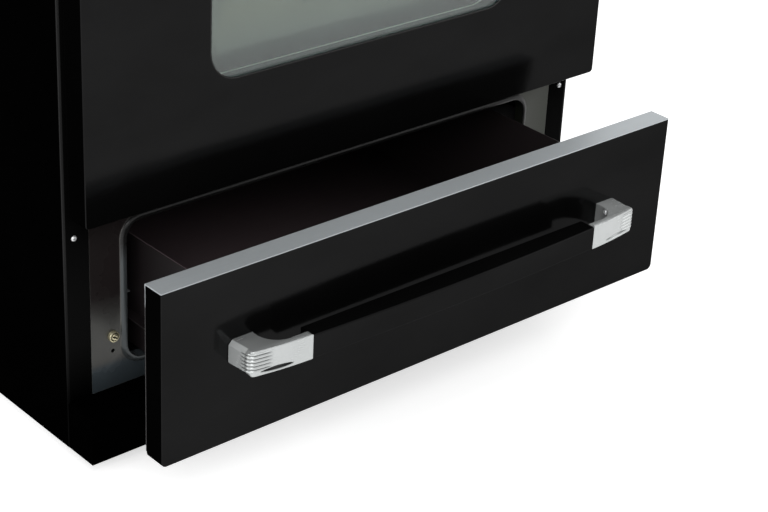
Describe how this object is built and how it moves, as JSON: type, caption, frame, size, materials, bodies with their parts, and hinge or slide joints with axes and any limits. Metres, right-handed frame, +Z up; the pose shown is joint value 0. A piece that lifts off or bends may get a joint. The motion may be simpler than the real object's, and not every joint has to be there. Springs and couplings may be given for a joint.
{
  "type": "freestanding gas range",
  "caption": "Freestanding gas range with a drop-down windowed oven door, lift-off grates and caps, push-to-turn knobs and a storage drawer shown part open.",
  "frame": {"origin": "middle of the footprint on the floor, with the drawer at its rest opening", "axes": "+X to the right as seen by someone who faces the range, +Y from the front to the rear, +Z up"},
  "size_m": [0.76, 0.84, 1.18],
  "materials": {
    "black_enamel": "high-gloss black enamel on steel",
    "side_paint": "semi-gloss black paint on steel",
    "galvanised_steel": "bright galvanised sheet steel",
    "satin_steel": "satin coated sheet steel",
    "surround_steel": "grey coated pressed steel",
    "chrome": "polished chrome plate",
    "bar_black": "gloss black moulding",
    "knob_black": "gloss black moulding",
    "oven_enamel": "speckled blue-black porcelain enamel",
    "outer_glass": "clear float glass",
    "inner_glass": "clear heat-resistant glass",
    "spacer_steel": "bright formed steel",
    "rack_chrome": "chrome-plated wire",
    "cast_iron": "matt black enamelled cast iron",
    "burner_aluminium": "cast aluminium",
    "cap_enamel": "matt black enamel",
    "tube_aluminium": "drawn aluminium tube",
    "black_pipe": "black steel pipe",
    "brass": "machined brass",
    "zinc_casting": "die-cast body",
    "burner_steel": "aluminised steel tube",
    "ceramic": "white ceramic",
    "lamp_glass": "frosted heat-resistant glass",
    "gasket": "woven glass-fibre braid",
    "wool": "glass-wool blanket",
    "rubber": "black rubber",
    "foot_black": "black nylon foot on a steel thread",
    "screw_steel": "bright plated steel",
    "stem_steel": "turned steel",
    "hinge_steel": "zinc-plated steel"
  },
  "bodies": {
    "body": {"side_panel_left": "side_paint", "side_panel_right": "side_paint", "rear_panel": "galvanised_steel", "base_tray": "galvanised_steel", "levelling_feet": "foot_black", "kick_plate": "side_paint", "front_frame": "side_paint", "drawer_surround": "surround_steel", "frame_screws": "screw_steel", "drawer_rails": "galvanised_steel", "oven_cavity": "oven_enamel", "oven_floor": "oven_enamel", "bake_burner": "burner_steel", "broil_burner": "burner_steel", "oven_igniters": "ceramic", "oven_lamp": "lamp_glass", "temperature_probe": "stem_steel", "oven_insulation": "wool", "door_gasket": "gasket", "hinge_arms": "hinge_steel", "gas_manifold": "black_pipe", "gas_valves": "brass", "pressure_regulator": "zinc_casting", "burner_tubes": "tube_aluminium", "cooktop": "black_enamel", "burner_bases": "burner_aluminium", "spark_electrodes": "ceramic", "backguard": "black_enamel", "power_inlet": "rubber", "control_panel": "black_enamel"},
    "door": {"door_skin": "black_enamel", "door_outer_glass": "outer_glass", "door_window_frame": "spacer_steel", "door_liner": "oven_enamel", "door_inner_glass": "inner_glass", "door_hinges": "hinge_steel", "door_handle_ends": "chrome", "door_handle_bar": "bar_black"},
    "drawer": {"drawer_front": "black_enamel", "drawer_box": "satin_steel", "drawer_handle_ends": "chrome", "drawer_handle_bar": "bar_black"},
    "rack_lower": {"rack_lower": "rack_chrome"},
    "rack_upper": {"rack_upper": "rack_chrome"},
    "oven_knob": {"oven_knob": "knob_black"},
    "lamp_switch": {"lamp_switch": "chrome"},
    "grate_left": {"grate_left": "cast_iron"},
    "grate_right": {"grate_right": "cast_iron"},
    "cap_front_left": {"burner_cap_front_left": "cap_enamel"},
    "stem_front_left": {"valve_stem_front_left": "stem_steel"},
    "knob_front_left": {"knob_front_left": "knob_black"},
    "cap_front_right": {"burner_cap_front_right": "cap_enamel"},
    "stem_front_right": {"valve_stem_front_right": "stem_steel"},
    "knob_front_right": {"knob_front_right": "knob_black"},
    "cap_rear_left": {"burner_cap_rear_left": "cap_enamel"},
    "stem_rear_left": {"valve_stem_rear_left": "stem_steel"},
    "knob_rear_left": {"knob_rear_left": "knob_black"},
    "cap_rear_right": {"burner_cap_rear_right": "cap_enamel"},
    "stem_rear_right": {"valve_stem_rear_right": "stem_steel"},
    "knob_rear_right": {"knob_rear_right": "knob_black"}
  },
  "joints": [
    {"name": "door_swing", "type": "hinge", "parent": "body", "child": "door", "pos_m": [0, -0.22, 0.318], "axis": [1, 0, 0], "range_deg": [0, 90], "stiffness_Nm_per_rad": 21, "springref_deg": -8.59},
    {"name": "drawer_slide", "type": "slide", "parent": "body", "child": "drawer", "axis": [0, -1, 0], "range_m": [-0.1315, 0.2085]},
    {"name": "rack_lower_slide", "type": "slide", "parent": "body", "child": "rack_lower", "axis": [0, -1, 0], "range_m": [0, 0.24]},
    {"name": "rack_upper_slide", "type": "slide", "parent": "body", "child": "rack_upper", "axis": [0, -1, 0], "range_m": [0, 0.32]},
    {"name": "stem_front_left_push", "type": "slide", "parent": "body", "child": "stem_front_left", "axis": [0, 1, 0], "range_m": [0, 0.003], "stiffness_N_per_m": 700},
    {"name": "knob_front_left_turn", "type": "hinge", "parent": "stem_front_left", "child": "knob_front_left", "pos_m": [-0.178, -0.253, 0.8395], "axis": [0, -1, 0], "range_deg": [0, 230]},
    {"name": "stem_front_right_push", "type": "slide", "parent": "body", "child": "stem_front_right", "axis": [0, 1, 0], "range_m": [0, 0.003], "stiffness_N_per_m": 700},
    {"name": "knob_front_right_turn", "type": "hinge", "parent": "stem_front_right", "child": "knob_front_right", "pos_m": [0.178, -0.253, 0.8395], "axis": [0, -1, 0], "range_deg": [0, 230]},
    {"name": "stem_rear_left_push", "type": "slide", "parent": "body", "child": "stem_rear_left", "axis": [0, 1, 0], "range_m": [0, 0.003], "stiffness_N_per_m": 700},
    {"name": "knob_rear_left_turn", "type": "hinge", "parent": "stem_rear_left", "child": "knob_rear_left", "pos_m": [-0.29, -0.253, 0.8395], "axis": [0, -1, 0], "range_deg": [0, 230]},
    {"name": "stem_rear_right_push", "type": "slide", "parent": "body", "child": "stem_rear_right", "axis": [0, 1, 0], "range_m": [0, 0.003], "stiffness_N_per_m": 700},
    {"name": "knob_rear_right_turn", "type": "hinge", "parent": "stem_rear_right", "child": "knob_rear_right", "pos_m": [0.29, -0.253, 0.8395], "axis": [0, -1, 0], "range_deg": [0, 230]},
    {"name": "oven_knob_turn", "type": "hinge", "parent": "body", "child": "oven_knob", "pos_m": [0, -0.253, 0.8395], "axis": [0, -1, 0], "range_deg": [0, 280]},
    {"name": "lamp_switch_push", "type": "slide", "parent": "body", "child": "lamp_switch", "axis": [0, 1, 0], "range_m": [0, 0.003], "stiffness_N_per_m": 400},
    {"name": "grate_left_lift", "type": "slide", "parent": "body", "child": "grate_left", "axis": [0, 0, 1], "range_m": [0, 0.15]},
    {"name": "grate_right_lift", "type": "slide", "parent": "body", "child": "grate_right", "axis": [0, 0, 1], "range_m": [0, 0.15]},
    {"name": "cap_front_left_lift", "type": "slide", "parent": "body", "child": "cap_front_left", "axis": [0, 0, 1], "range_m": [0, 0.075]},
    {"name": "cap_front_right_lift", "type": "slide", "parent": "body", "child": "cap_front_right", "axis": [0, 0, 1], "range_m": [0, 0.075]},
    {"name": "cap_rear_left_lift", "type": "slide", "parent": "body", "child": "cap_rear_left", "axis": [0, 0, 1], "range_m": [0, 0.075]},
    {"name": "cap_rear_right_lift", "type": "slide", "parent": "body", "child": "cap_rear_right", "axis": [0, 0, 1], "range_m": [0, 0.075]}
  ],
  "couplings": [
    {"joint": "rack_lower_slide", "follows": "door_swing", "m_per_rad": 0.15},
    {"joint": "rack_upper_slide", "follows": "door_swing", "m_per_rad": 0.2},
    {"joint": "cap_front_left_lift", "follows": "grate_left_lift", "ratio": 0.5},
    {"joint": "cap_front_right_lift", "follows": "grate_right_lift", "ratio": 0.5},
    {"joint": "cap_rear_left_lift", "follows": "grate_left_lift", "ratio": 0.5},
    {"joint": "cap_rear_right_lift", "follows": "grate_right_lift", "ratio": 0.5}
  ]
}
